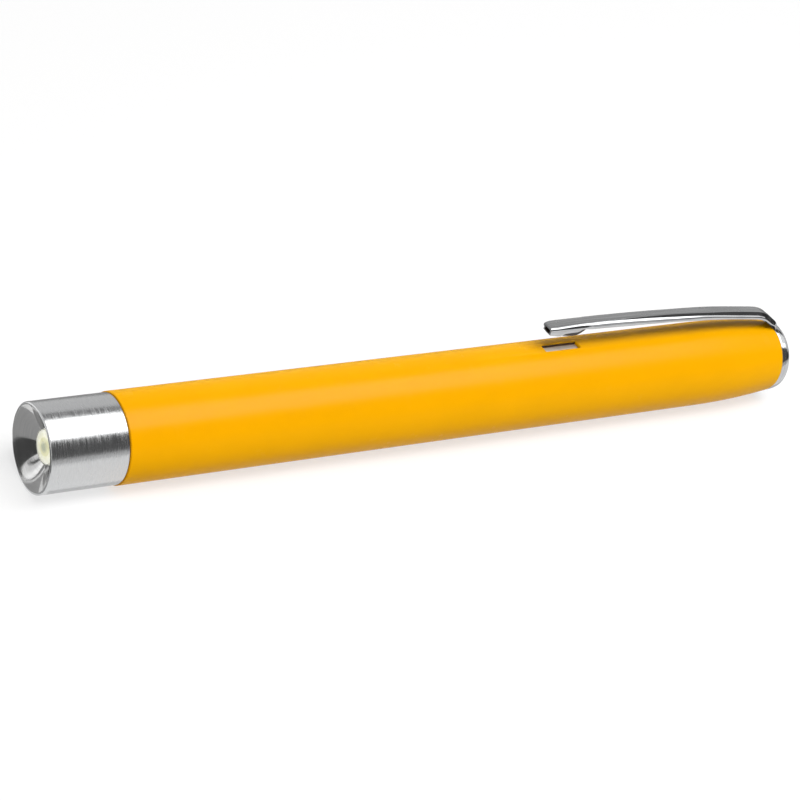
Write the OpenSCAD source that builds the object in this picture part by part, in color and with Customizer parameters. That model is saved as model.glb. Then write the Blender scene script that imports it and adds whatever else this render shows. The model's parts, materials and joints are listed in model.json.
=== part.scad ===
// Penlight whose pocket clip is also its switch.
// The long axis lies along X, with the lamp towards -X and the clip on top.
// Axial places are distances from the rim of the head, and heights are measured from the long axis.

/* [Body] */
// Overall length, from the rim of the head to the back of the tail cap
length = 132.2; // [130:0.1:160]
// Outside diameter of the barrel
barrel_d = 13.5; // [13.3:0.1:16.5]
// Wall of the barrel tube
wall = 0.45; // [0.4:0.05:0.85]
// Diameter of the barrel where it meets the clip ring
tail_d = 11.7; // [11:0.1:12.6]
// Length of the curved taper at the tail
taper_len = 15; // [11:0.5:16]
// Thickness of the closed end of the barrel
end_wall = 1; // [0.8:0.1:1.5]

/* [Head] */
// Visible length of the head
head_len = 12; // [11.5:0.1:13]
// How far the head's side lies inside the barrel's side
head_step = 0.15; // [0.1:0.05:0.4]
// Diameter of the cone at the rim
mouth_d = 11.5; // [10:0.1:11.8]
// Flat land between the cone and the rounded rim
rim_land = 0.25; // [0.1:0.05:0.4]
// Radius of the rounded rim
rim_round = 0.6; // [0.3:0.05:0.7]
// Depth of the cone
cone_depth = 1.9; // [1.2:0.1:3]
// Length of the threaded spigot behind the head
spigot_len = 5.5; // [5:0.1:6]

/* [Thread] */
// Axial pitch of the head's thread
pitch = 1; // [0.9:0.05:1.25]
// Height of the thread on the spigot
rib_h = 0.3; // [0.2:0.05:0.35]
// Radial room between the thread's crests and the thread ring
thread_gap = 0.06; // [0.05:0.01:0.1]
// Wall of the thread ring
ring_wall = 0.35; // [0.25:0.05:0.4]

/* [Lamp] */
// Diameter of the LED body
lens_d = 4.9; // [3:0.1:5.9]
// Height of the LED's low dome
dome_h = 0.45; // [0.2:0.05:0.6]
// Length of the LED body between its dome and its flange
lens_len = 7.1; // [6:0.1:7.5]
// Pitch of the two LED leads
lead_pitch = 2.54; // [2.4:0.02:2.6]
// Thickness of the circuit board
board_t = 1; // [0.8:0.1:1.2]

/* [Cells] */
// Diameter of one cell
cell_d = 10.4; // [10:0.1:10.5]
// Length of one cell with its positive cap
cell_len = 44.5; // [43.3:0.1:44.5]
// Height of the positive cap
cap_h = 1; // [0.8:0.1:1.2]
// Diameter of the positive cap
cap_d = 3.8; // [3.4:0.1:4]

/* [Battery spring] */
// Diameter of the spring wire
wire_d = 0.6; // [0.5:0.05:0.7]
// Number of turns
spring_turns = 5; // [4:1:5]
// Mean diameter at the cell
spring_d0 = 5.2; // [4.4:0.1:6]
// Mean diameter at the seat
spring_d1 = 6.8; // [6:0.1:7.2]

/* [Clip] */
// Length of the clip, from its ring to its tip
clip_reach = 46.1; // [44:0.1:50]
// Width of the clip
clip_w = 2.7; // [2:0.1:3]
// Sheet thickness of the clip
sheet = 0.45; // [0.35:0.05:0.5]
// Height of the clip's crest above the barrel
clip_rise = 4.55; // [4.2:0.05:5]
// How far the clip's back bends down before the ear
clip_sag = 2.05; // [1.5:0.05:2.3]
// Depth of the clip's sides at the tip
side_tip = 0.95; // [0.8:0.05:1.1]
// Depth of the clip's sides at the back
side_rear = 1.45; // [1.3:0.05:1.6]
// Room between the foot and the barrel with the clip at rest
foot_lift = 1.95; // [1.85:0.01:2.6]
// Width of the pinched foot
foot_w = 1.1; // [0.9:0.05:1.4]
// Thickness of the clip's ring
ring_t = 0.6; // [0.4:0.1:0.8]
// Thickness of the tail cap
cap_t = 1.2; // [0.9:0.1:1.6]

/* [Switch] */
// Width of the contact leaf
leaf_w = 1.8; // [1.5:0.1:2.2]
// Thickness of the contact leaf
leaf_t = 0.25; // [0.2:0.05:0.3]
// Radial room between the leaf's edges and the bore
leaf_gap = 0.06; // [0.05:0.01:0.2]
// Room on each side of the foot in the slot
slot_side = 0.25; // [0.1:0.05:0.35]
// Distance from the spring seat to the clip's ring
seat_from_ring = 17.2; // [16.6:0.1:18]

/* [Hidden] */
$fn = 96;
// Fits
seat_gap = 0.05;
press_gap = 0.02;
slip_gap = 0.05;
edge = 0.12;
// Body
barrel_r = barrel_d / 2;
bore_r = barrel_r - wall;
tail_r = tail_d / 2;
barrel_x0 = head_len + seat_gap;
barrel_x1 = length - ring_t - cap_t;
taper_x = barrel_x1 - taper_len;
taper_drop = barrel_r - tail_r;
taper_r = (pow(taper_len, 2) + pow(taper_drop, 2)) / (2 * taper_drop);
stem_r = 1.5;
stem_hole_r = stem_r + slip_gap;
// Thread
thread_ring_r = bore_r - ring_wall;
crest_r = thread_ring_r - thread_gap;
spigot_r = crest_r - rib_h;
spigot_x1 = head_len + spigot_len;
thread_x = head_len + 0.8;
rib_count = floor((spigot_len - 1.1) / pitch);
thread_ring_x0 = barrel_x0 + 0.3;
thread_ring_x1 = spigot_x1 + 1.8;
// Lamp
head_r = barrel_r - head_step;
mouth_r = mouth_d / 2;
lens_r = lens_d / 2;
throat_r = lens_r + slip_gap;
dome_r = (pow(lens_r, 2) + pow(dome_h, 2)) / (2 * dome_h);
flange_r = lens_r + 0.45;
flange_x0 = cone_depth + lens_len;
flange_x1 = flange_x0 + 1;
pocket_r = flange_r + 1.1;
board_r = spigot_r - 0.8;
socket_r = board_r + slip_gap;
button_x1 = spigot_x1 - 0.3;
board_x1 = button_x1 - 0.65;
board_x0 = board_x1 - board_t;
ground_t = 0.25;
socket_x = board_x0 - ground_t - slip_gap;
lead_t = 0.5;
cup_x = cone_depth + 1.4;
cup_r = 0.75;
// Cells
cell_r = cell_d / 2;
front_cell_x = button_x1 + press_gap;
rear_cell_x = front_cell_x + cell_len;
cells_x1 = rear_cell_x + cell_len;
// Tail
seat_x = barrel_x1 - seat_from_ring;
seat_t = 0.4;
seat_r = bore_r - 1.15;
plug_x0 = seat_x + seat_t + press_gap;
plug_x1 = barrel_x1 - end_wall - seat_gap;
insert_x0 = plug_x1 - 7.8;
insert_r = 2.4;
rivet_r = 0.9;
rivet_x1 = seat_x + 4;
// Clip
tip_x = barrel_x1 - clip_reach;
crest_x = tip_x + 7.7;
crest_z = barrel_r + clip_rise;
tip_dip = 0.14;
hinge_x = barrel_x1 - 3.2;
hinge_z = crest_z - clip_sag - side_rear / 2;
knuckle_r = side_rear / 2;
knuckle_gap = 0.07;
ear_slope = 31;
foot_x0 = tip_x + 0.8;
foot_low_x = tip_x + 5.4;
foot_x1 = tip_x + 7.4;
foot_low_z = barrel_r + foot_lift;
foot_front_z = foot_low_z + 0.83;
clip_steps = 24;
// Switch
slot_end = 0.4;
slot_x0 = foot_x0 - slot_end;
slot_x1 = foot_low_x + 1.1 + slot_end;
slot_w = foot_w + 2 * slot_side;
leaf_z = sqrt(pow(bore_r, 2) - pow(leaf_w / 2, 2)) - leaf_gap;
leaf_x0 = slot_x0 - 2;
leaf_x1 = seat_x - seat_gap;
leaf_foot_z = spring_d1 / 2 + wire_d / 2 + 0.4;
sleeve_in_r = cell_r + 0.12;
sleeve_out_r = bore_r - slip_gap;
sleeve_x0 = leaf_x0 - 20;
sleeve_x1 = leaf_x1 - leaf_t - 0.2;
trough_z = sleeve_in_r + 0.08;
// Battery spring
spring_x0 = cells_x1 + wire_d / 2;
spring_x1 = seat_x - wire_d / 2;
spring_pitch = (spring_x1 - spring_x0) / spring_turns;
spring_gap = spring_pitch - wire_d;
echo(spring_gap = spring_gap);

// Radius of the barrel's outside at an axial place
function skin(x) =
    x <= taper_x ? barrel_r : barrel_r - taper_r + sqrt(pow(taper_r, 2) - pow(x - taper_x, 2));

// Points of the barrel's skin from one axial place to another, moved inwards by an inset
function skin_line(x0, x1, inset, steps) = [
    for (i = [0:steps]) let (x = x0 + (x1 - x0) * i / steps) [skin(x) - inset, x]
];

// Height of the clip's top at an axial place
function clip_top(x) =
    x < crest_x
        ? crest_z - tip_dip * pow((crest_x - x) / (crest_x - tip_x), 2)
        : crest_z - clip_sag * pow((x - crest_x) / (hinge_x - crest_x), 2.5);

// Depth of the clip's sides at an axial place
function clip_side(x) =
    side_tip + (side_rear - side_tip) * sin(90 * max(0, min(1, (x - crest_x) / (0.7 * (hinge_x - crest_x)))));

// Axial place of one step along the clip
function clip_x(i, x1) = tip_x + (x1 - tip_x) * i / clip_steps;

// Moves the long axis to its height above the floor and centres the length
module in_frame() {
    translate([-length / 2, 0, barrel_r]) children();
}

// Turns an outline of [radius, axial place] points about the long axis
module lathe() {
    in_frame() rotate([0, 90, 0]) rotate_extrude() children();
}

// Plain ring or disc about the long axis
module ring(x0, x1, r_out, r_in = 0) {
    lathe() translate([r_in, x0]) square([r_out - r_in, x1 - x0]);
}

// Spreads an outline of [axial place, height] points across the width
module across(w) {
    in_frame() rotate([90, 0, 0]) linear_extrude(w, center = true) children();
}

// Box given by its axial, sideways and upward limits
module block(x, y, z) {
    in_frame() translate([x[0], y[0], z[0]]) cube([x[1] - x[0], y[1] - y[0], z[1] - z[0]]);
}

// Tube wound along a path: rings is a list of closed sections with the same number of points
module wound(rings) {
    n = len(rings);
    m = len(rings[0]);
    points = [for (section = rings) each section];
    sides = [
        for (i = [0:n - 2], j = [0:m - 1])
            let (a = i * m + j, b = i * m + (j + 1) % m)
                each [[a, b, b + m], [a, b + m, a + m]]
    ];
    start = [for (j = [m - 1:-1:0]) j];
    finish = [for (j = [0:m - 1]) (n - 1) * m + j];
    in_frame() polyhedron(points, concat([start], sides, [finish]));
}

// Outline of the spigot's thread, drawn as one ridge for each turn
function ridges() = [
    for (i = [0:rib_count - 1])
        let (x = thread_x + i * pitch)
            each [
                [spigot_r, x], [crest_r, x + 0.25 * pitch], [crest_r, x + 0.4 * pitch],
                [spigot_r, x + 0.65 * pitch]
            ]
];

// Lacquered tube, closed in at the tail, with the slot under the clip's foot
module barrel() {
    color("orange") difference() {
        lathe() polygon(concat(
            [[bore_r, barrel_x0], [barrel_r - edge, barrel_x0], [barrel_r, barrel_x0 + edge]],
            skin_line(taper_x, barrel_x1, 0, 12),
            [[stem_hole_r, barrel_x1], [stem_hole_r, barrel_x1 - end_wall]],
            skin_line(barrel_x1 - end_wall, taper_x, wall, 12)
        ));
        block([slot_x0, slot_x1], [-slot_w / 2, slot_w / 2], [bore_r - 1, barrel_r + 1]);
    }
}

// Brass insert in the mouth of the barrel, with the female thread drawn plain
module thread_ring() {
    color("goldenrod") ring(thread_ring_x0, thread_ring_x1, bore_r - press_gap, thread_ring_r);
}

// Plastic liner with a trough for the contact leaf
module insulating_sleeve() {
    trough_w = leaf_w + 0.5;
    color("ivory") difference() {
        ring(sleeve_x0, sleeve_x1, sleeve_out_r, sleeve_in_r);
        block([leaf_x0 - 0.6, sleeve_x1 + 1], [-trough_w / 2, trough_w / 2], [trough_z, barrel_r]);
    }
}

// Plate under the battery spring
module spring_seat() {
    color("silver") ring(seat_x, seat_x + seat_t, seat_r, rivet_r + press_gap);
}

// Rivet that holds the spring seat to the plug
module seat_rivet() {
    color("silver") lathe() polygon([
        [0, seat_x - 0.45], [1.3, seat_x - 0.45], [1.7, seat_x - press_gap], [rivet_r, seat_x - press_gap],
        [rivet_r, rivet_x1], [0, rivet_x1]
    ]);
}

// Conical compression spring, wound as one unbroken tube
module battery_spring() {
    steps = spring_turns * 8;
    color("gainsboro") wound([
        for (i = [0:steps])
            let (
                t = i / steps,
                x = spring_x0 + (spring_x1 - spring_x0) * t,
                r = (spring_d0 + (spring_d1 - spring_d0) * t) / 2,
                a = 360 * spring_turns * t
            )
                [
                    for (j = [0:5])
                        let (b = 60 * j, rr = r + wire_d / 2 * cos(b))
                            [x - wire_d / 2 * sin(b), rr * cos(a), rr * sin(a)]
                ]
    ]);
}

// Plastic plug that fills the tail and carries the spring seat
module tail_plug() {
    color("dimgray") difference() {
        lathe() polygon(concat(
            [[0, plug_x0]],
            skin_line(plug_x0, plug_x1, wall + slip_gap, 14),
            [[0, plug_x1]]
        ));
        ring(plug_x0 - 1, rivet_x1 + slip_gap, rivet_r + press_gap);
        ring(insert_x0, plug_x1 + 1, insert_r + press_gap);
    }
}

// Threaded brass insert in the plug, drawn with a plain hole for the cap's stem
module tail_insert() {
    color("goldenrod") ring(insert_x0 + press_gap, plug_x1, insert_r, stem_r + press_gap);
}

// Ring and ear of the clip
module clip_ring() {
    ring_x1 = barrel_x1 + ring_t - press_gap;
    ear_top = hinge_z + knuckle_r;
    color("silver") difference() {
        union() {
            ring(barrel_x1 + press_gap, ring_x1, tail_r);
            across(clip_w) union() {
                translate([hinge_x, hinge_z]) circle(knuckle_r);
                polygon([
                    [hinge_x, ear_top], [ring_x1, ear_top - (ring_x1 - hinge_x) * tan(ear_slope)],
                    [ring_x1, tail_r - 1], [barrel_x1 + press_gap, tail_r - 1],
                    [barrel_x1 + press_gap, tail_r + 0.15], [hinge_x + 1.5, hinge_z - knuckle_r - 0.5],
                    [hinge_x, hinge_z - knuckle_r]
                ]);
            }
        }
        ring(barrel_x1 - 1, barrel_x1 + 2, stem_hole_r);
    }
}

// Bright cap with a threaded stem, drawn plain
module tail_cap() {
    cap_x0 = barrel_x1 + ring_t;
    round_r = 0.5;
    side_in = 0.25;
    color("silver") lathe() polygon(concat(
        [[0, cap_x0 - end_wall - ring_t - 7], [stem_r, cap_x0 - end_wall - ring_t - 7], [stem_r, cap_x0]],
        [[tail_r - 0.05, cap_x0]],
        [for (a = [0:15:90]) [tail_r - side_in - round_r * (1 - cos(a)), length - round_r * (1 - sin(a))]],
        [[0, length]]
    ));
}

// Outline of the clip's arm from its tip to an axial place, with the top lowered by an inset
module arm_outline(x1, inset, floor_drop) {
    polygon(concat(
        [for (i = [0:clip_steps]) let (x = clip_x(i, x1)) [x, clip_top(x) - inset]],
        [for (i = [clip_steps:-1:0]) let (x = clip_x(i, x1)) [x, clip_top(x) - clip_side(x) - floor_drop]]
    ));
}

// Channel-section arm of the clip with its pinched foot
module clip_arm() {
    color("silver") union() {
        difference() {
            across(clip_w) difference() {
                arm_outline(hinge_x - 0.2, 0, 0);
                translate([hinge_x, hinge_z]) circle(knuckle_r + knuckle_gap);
            }
            across(clip_w - 2 * sheet) translate([-0.01, 0]) arm_outline(hinge_x - 2.5, sheet, 1);
        }
        across(foot_w) polygon([
            [foot_x0, clip_top(foot_x0) - sheet / 2], [foot_x0, foot_front_z], [foot_low_x, foot_low_z],
            [foot_low_x + 0.7, foot_low_z + 0.4], [foot_x1, crest_z - side_tip],
            [foot_x1, clip_top(foot_x1) - sheet / 2]
        ]);
    }
}

// Springy strip under the slot, bent down at the back to meet the spring seat
module contact_leaf() {
    color("tan") across(leaf_w) polygon([
        [leaf_x0, leaf_z - leaf_t], [leaf_x0, leaf_z], [leaf_x1, leaf_z], [leaf_x1, leaf_foot_z],
        [leaf_x1 - leaf_t, leaf_foot_z], [leaf_x1 - leaf_t, leaf_z - leaf_t]
    ]);
}

// Turned head with its cone, lamp pocket and threaded spigot
module head() {
    rim = [
        for (a = [0:15:90])
            [head_r - rim_round * (1 - sin(a)), rim_round * (1 - cos(a))]
    ];
    color("lightgray") lathe() polygon(concat(
        [[mouth_r, 0], [mouth_r + rim_land, 0]],
        rim,
        [[head_r, head_len - edge], [head_r - edge, head_len], [spigot_r, head_len]],
        ridges(),
        [[spigot_r, spigot_x1 - 0.2], [spigot_r - 0.2, spigot_x1], [socket_r, spigot_x1]],
        [[socket_r, socket_x], [pocket_r, socket_x], [pocket_r, flange_x0 - seat_gap]],
        [[throat_r, flange_x0 - seat_gap], [throat_r, cone_depth]]
    ));
}

// Clear LED body with room for its metal and its phosphor
module led_lens() {
    dome = [
        for (i = [0:8])
            let (r = lens_r * i / 8) [r, cone_depth - dome_h + dome_r - sqrt(pow(dome_r, 2) - pow(r, 2))]
    ];
    color("lightyellow", 0.6) difference() {
        lathe() polygon(concat(
            dome,
            [[lens_r, flange_x0], [flange_r, flange_x0], [flange_r, flange_x1], [0, flange_x1]]
        ));
        cathode_shape(press_gap);
        anode_shape(press_gap);
        ring(cup_x - 0.3, cup_x + 0.2, 0.6);
    }
}

// Metal of the LED's cathode: cup, bridge and lead, each grown by an amount
module cathode_shape(grow) {
    y0 = -lead_pitch / 2 - lead_t / 2;
    ring(cup_x - grow, cup_x + 0.9 + grow, cup_r + grow);
    block(
        [cup_x + 0.6 - grow, cup_x + 1.2 + grow],
        [y0 - grow, lead_t / 2 + grow],
        [-lead_t / 2 - grow, lead_t / 2 + grow]
    );
    lead(-1, cup_x + 0.6, grow);
}

// Metal of the LED's anode: post and lead, grown by an amount
module anode_shape(grow) {
    lead(1, cup_x + 0.2, grow);
}

// One square lead on a side, from an axial place to the board
module lead(side, x0, grow) {
    y = side * lead_pitch / 2;
    half = lead_t / 2 + grow;
    block([x0 - grow, board_x0 - press_gap], [y - half, y + half], [-half, half]);
}

// Cathode with its reflector cup
module led_cathode() {
    color("silver") difference() {
        cathode_shape(0);
        ring(cup_x - 1, cup_x + 0.4, 0.6);
    }
}

// Anode post and lead
module led_anode() {
    color("silver") anode_shape(0);
}

// Phosphor drop in the cup
module led_phosphor() {
    color("gold") lathe() polygon([
        [0, cup_x - 0.2], [0.35, cup_x - 0.12], [0.58, cup_x + 0.05], [0.58, cup_x + 0.38], [0, cup_x + 0.38]
    ]);
}

// Plastic bush that presses the LED against the head
module lamp_holder() {
    color("white") difference() {
        ring(flange_x0, socket_x - slip_gap, pocket_r - slip_gap);
        ring(flange_x0 - 1, flange_x1 + press_gap, flange_r + slip_gap);
        lead(-1, flange_x0, slip_gap);
        lead(1, flange_x0, slip_gap);
    }
}

// Washer from the board to the head
module ground_ring() {
    color("goldenrod") ring(socket_x + press_gap, socket_x + ground_t, board_r, pocket_r - 0.2);
}

// Round circuit board
module lamp_board() {
    color("darkgreen") ring(board_x0, board_x1, board_r, 0.5 + press_gap);
}

// Rivet that meets the front cell
module contact_button() {
    color("goldenrod") lathe() polygon([
        [0, board_x0 - 0.2], [0.7, board_x0 - 0.2], [0.7, board_x0 - press_gap], [0.5, board_x0 - press_gap],
        [0.5, board_x1 + press_gap], [1.6, board_x1 + press_gap], [1.6, button_x1 - 0.2], [1.3, button_x1],
        [0, button_x1]
    ]);
}

// Chip resistor on the back of the board
module series_resistor() {
    color("black") block([board_x1 + press_gap, board_x1 + 0.5], [-1, 1], [2.0, 3.2]);
}

// Ring that holds the board in the spigot
module lamp_retainer() {
    color("dimgray") ring(board_x1 + press_gap, spigot_x1 - 0.1, board_r, board_r - 0.7);
}

// Labelled can of a cell, with a step for its seal
module cell_can(x0, tint) {
    x_top = x0 + cap_h;
    color(tint) lathe() polygon([
        [0, x_top + 0.45], [cell_r - 0.6, x_top + 0.45], [cell_r - 0.6, x_top], [cell_r - 0.15, x_top],
        [cell_r, x_top + 0.2], [cell_r, x0 + cell_len - 0.35], [cell_r - 0.2, x0 + cell_len - 0.15],
        [cell_r - 0.8, x0 + cell_len - 0.15], [cell_r - 0.8, x0 + cell_len - 0.3], [0, x0 + cell_len - 0.3]
    ]);
}

// Positive cap of a cell
module cell_cap(x0) {
    x_top = x0 + cap_h + 0.45 - press_gap;
    color("silver") lathe() polygon([
        [0, x0], [cap_d / 2 - 0.15, x0], [cap_d / 2, x0 + 0.15], [cap_d / 2, x_top - 0.25],
        [cell_r - 2, x_top - 0.25], [cell_r - 2, x_top], [0, x_top]
    ]);
}

// Seal between cap and can
module cell_seal(x0) {
    x_top = x0 + cap_h + 0.45 - press_gap;
    color("dimgray") ring(x_top - 0.35, x_top, cell_r - 0.6 - press_gap, cell_r - 2 + press_gap);
}

// Negative base of a cell
module cell_base(x0) {
    x_end = x0 + cell_len;
    color("silver") ring(x_end - 0.3 + press_gap, x_end - press_gap, cell_r - 0.8 - press_gap);
}

module front_cell_can() { cell_can(front_cell_x, "darkslateblue"); }
module front_cell_cap() { cell_cap(front_cell_x); }
module front_cell_seal() { cell_seal(front_cell_x); }
module front_cell_base() { cell_base(front_cell_x); }
module rear_cell_can() { cell_can(rear_cell_x, "darkslateblue"); }
module rear_cell_cap() { cell_cap(rear_cell_x); }
module rear_cell_seal() { cell_seal(rear_cell_x); }
module rear_cell_base() { cell_base(rear_cell_x); }

barrel();
thread_ring();
insulating_sleeve();
spring_seat();
seat_rivet();
battery_spring();
tail_plug();
tail_insert();
clip_ring();
tail_cap();
clip_arm();
contact_leaf();
head();
led_lens();
led_phosphor();
led_cathode();
led_anode();
lamp_holder();
ground_ring();
lamp_board();
contact_button();
series_resistor();
lamp_retainer();
front_cell_can();
front_cell_cap();
front_cell_seal();
front_cell_base();
rear_cell_can();
rear_cell_cap();
rear_cell_seal();
rear_cell_base();
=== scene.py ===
# %% [markdown]
# A pocket penlight: a yellow lacquered tube with a turned metal head, a small lamp sunk in
# a shallow cone, and a bright spring clip that is also the switch. The CAD model is already
# packed with its bodies and joints. This lesson loads it as a fixed frame and builds the
# looks around it, one piece and one finish at a time.

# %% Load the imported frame
import json
import math

import bmesh
import bpy
from mathutils import Matrix, Vector


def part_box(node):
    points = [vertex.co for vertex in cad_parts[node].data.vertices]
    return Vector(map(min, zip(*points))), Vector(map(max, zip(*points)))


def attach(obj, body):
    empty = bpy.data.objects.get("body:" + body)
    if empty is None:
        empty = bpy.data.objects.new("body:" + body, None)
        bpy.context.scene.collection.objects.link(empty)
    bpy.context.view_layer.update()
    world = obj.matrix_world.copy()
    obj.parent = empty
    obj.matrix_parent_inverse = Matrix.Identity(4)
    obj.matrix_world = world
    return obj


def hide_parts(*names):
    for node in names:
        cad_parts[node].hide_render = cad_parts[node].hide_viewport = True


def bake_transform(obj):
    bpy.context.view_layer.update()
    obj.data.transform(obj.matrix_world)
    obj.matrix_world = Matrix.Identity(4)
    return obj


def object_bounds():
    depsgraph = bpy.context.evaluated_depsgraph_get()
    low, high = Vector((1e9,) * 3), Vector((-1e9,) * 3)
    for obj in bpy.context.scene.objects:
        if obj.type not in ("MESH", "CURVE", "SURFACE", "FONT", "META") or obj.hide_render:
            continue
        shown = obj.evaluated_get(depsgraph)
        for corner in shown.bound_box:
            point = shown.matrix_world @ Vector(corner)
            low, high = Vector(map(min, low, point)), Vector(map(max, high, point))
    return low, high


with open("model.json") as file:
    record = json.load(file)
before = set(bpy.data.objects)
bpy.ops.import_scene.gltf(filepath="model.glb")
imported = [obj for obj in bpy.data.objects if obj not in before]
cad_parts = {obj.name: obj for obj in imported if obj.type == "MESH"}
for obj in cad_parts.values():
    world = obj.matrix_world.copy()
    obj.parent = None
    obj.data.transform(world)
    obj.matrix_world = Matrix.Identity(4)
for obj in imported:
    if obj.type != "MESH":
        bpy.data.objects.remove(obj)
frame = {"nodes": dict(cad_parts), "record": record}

cad_box = [list(corner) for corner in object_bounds()]
print("CAD box:", cad_box)

# %% [markdown]
# A turned object is easiest to think about from its own axis. So every piece is written in
# millimetres back from the head's rim, sideways, and up from the axis, and one small
# function carries such a point into the frame, which is in metres. The main sizes are
# read from the CAD nodes, so nothing has to be fitted by eye.

# %% Read the main sizes from the frame
mm = 0.001
tube_low, tube_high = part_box("barrel")
head_low, head_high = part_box("head")
rim_x = head_low.x
tube_r = (tube_high.y - tube_low.y) / 2 / mm
axis_up = tube_low.z + tube_r * mm


def pen_x(x):
    return (x - rim_x) / mm


def pen_z(z):
    return (z - axis_up) / mm


def pen_point(x, y, z):
    return Vector((rim_x + x * mm, y * mm, axis_up + z * mm))


tube_front = pen_x(tube_low.x)
tube_back = pen_x(tube_high.x)
head_r = (head_high.y - head_low.y) / 2 / mm
print(f"tube {tube_front:.2f} to {tube_back:.2f} mm, radius {tube_r:.2f}, head {head_r:.2f}")

# %% [markdown]
# The camera comes first, because every later choice is judged through it. It stands where
# the photograph was taken: in front, to the left and above, with a long lens. The picture
# leans, so the camera is rolled about its own line of sight. A rotation can be typed as
# three angles, but a place, a point to look at and a roll are easier to read and to change.

# %% Set up the camera
camera_place = Vector((-0.20708, -0.25414, 0.21548))
camera_aim = Vector((-0.00576, 0.00009, 0.00687))
camera_roll = math.radians(15.84)

camera_data = bpy.data.cameras.new("camera")
camera_data.lens = 115.21
camera_data.sensor_width = 36
camera_data.clip_start = 0.01
camera = bpy.data.objects.new("camera", camera_data)
aim = (camera_aim - camera_place).to_track_quat("-Z", "Y").to_matrix().to_4x4()
camera.matrix_world = Matrix.Translation(camera_place) @ aim @ Matrix.Rotation(camera_roll, 4, "Z")
bpy.context.scene.collection.objects.link(camera)
bpy.context.scene.camera = camera
bpy.context.scene.view_settings.view_transform = "Standard"
print(f"camera {1000 * (camera_aim - camera_place).length:.0f} mm from its aim")

# %% [markdown]
# Node trees are long to write by hand, so two small helpers wire one socket to another and
# add a node. An input of the new node takes a plain value or another node's output, so
# each finish stays short enough to read at a glance.

# %% Helpers for node trees
def wire(tree, source, target):
    tree.links.new(source, target)


def add(tree, kind, sockets=None, **settings):
    node = tree.nodes.new(kind)
    for name, value in settings.items():
        setattr(node, name, value)
    for name, value in (sockets or {}).items():
        if isinstance(value, bpy.types.NodeSocket):
            wire(tree, value, node.inputs[name])
        else:
            node.inputs[name].default_value = value
    return node


# %% [markdown]
# The stage is a sheet of white paper. Paper alone renders a little grey, so its material
# adds a glow, strong for the camera, reflections and glass, and weak for the light that it
# throws up on the pen. The glow is added to the paper's own shade, so a soft shadow stays.

# %% Lay the paper floor
paper_half = 4.0
paper_z = cad_box[0][2] - 0.02 * mm
paper_grey, paper_glow, paper_bounce = 0.36, 0.66, 0.28

floor_mesh = bpy.data.meshes.new("paper_floor")
paper_corners = [(-1, -1), (1, -1), (1, 1), (-1, 1)]
floor_points = [(x * paper_half, y * paper_half, paper_z) for x, y in paper_corners]
floor_mesh.from_pydata(floor_points, [], [(0, 1, 2, 3)])
floor = bpy.data.objects.new("paper_floor", floor_mesh)
bpy.context.scene.collection.objects.link(floor)
print("paper floor", 2 * paper_half, "m wide")


# %% Make the paper white
def seen_directly(tree):
    rays = add(tree, "ShaderNodeLightPath").outputs
    pair = {0: rays["Is Camera Ray"], 1: rays["Is Glossy Ray"]}
    either = add(tree, "ShaderNodeMath", pair, operation="MAXIMUM")
    trio = {0: either.outputs[0], 1: rays["Is Transmission Ray"]}
    return add(tree, "ShaderNodeMath", trio, operation="MAXIMUM").outputs[0]


paper = bpy.data.materials.new("paper")
paper.use_nodes = True
paper_tree = paper.node_tree
paper_tree.nodes.clear()
paper_colour = (paper_grey, paper_grey, paper_grey, 1)
paper_shade = add(paper_tree, "ShaderNodeBsdfDiffuse", {"Color": paper_colour})
paper_level = add(paper_tree, "ShaderNodeMapRange", {
    "Value": seen_directly(paper_tree), "To Min": paper_bounce, "To Max": paper_glow})
paper_light = add(paper_tree, "ShaderNodeEmission", {"Strength": paper_level.outputs[0]})
paper_pair = {0: paper_shade.outputs[0], 1: paper_light.outputs[0]}
paper_sum = add(paper_tree, "ShaderNodeAddShader", paper_pair)
add(paper_tree, "ShaderNodeOutputMaterial", {"Surface": paper_sum.outputs[0]})
floor_mesh.materials.append(paper)
print("finish", paper.name)

# %% [markdown]
# The light is a plain studio: an even room, one long softbox overhead, a smaller key beside
# it and a weak fill low in front. One lamp could do it all, but bright metal and matte
# lacquer ask for different things. So the softbox is seen in reflections alone, where it
# draws the white stripe along the head. The key lights the matte surfaces from above and a
# little in front, which keeps the clip's shadow close under it, and the fill opens the
# lower side. Neither of those two shows in reflections.

# %% Light the room
room_level, room_white = 0.24, 1.0

world = bpy.data.worlds.new("room")
bpy.context.scene.world = world
world.use_nodes = True
world_tree = world.node_tree
room = world_tree.nodes["Background"]
room.inputs["Color"].default_value = (1, 1, 1, 1)
room_strength = add(world_tree, "ShaderNodeMapRange", {
    "Value": seen_directly(world_tree), "To Min": room_level, "To Max": room_white})
wire(world_tree, room_strength.outputs[0], room.inputs["Strength"])
print("room", room_level)


# %% Hang the lamps
def hang_lamp(name, place, target, width, height, energy, in_reflections):
    lamp_data = bpy.data.lights.new(name, "AREA")
    lamp_data.shape = "RECTANGLE"
    lamp_data.size = width
    lamp_data.size_y = height
    lamp_data.energy = energy
    lamp = bpy.data.objects.new(name, lamp_data)
    lamp.location = place
    lamp.rotation_euler = (Vector(target) - Vector(place)).to_track_quat("-Z", "Y").to_euler()
    lamp.visible_camera = False
    lamp.visible_glossy = in_reflections
    bpy.context.scene.collection.objects.link(lamp)
    print("lamp", name, energy, "W")
    return lamp


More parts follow.
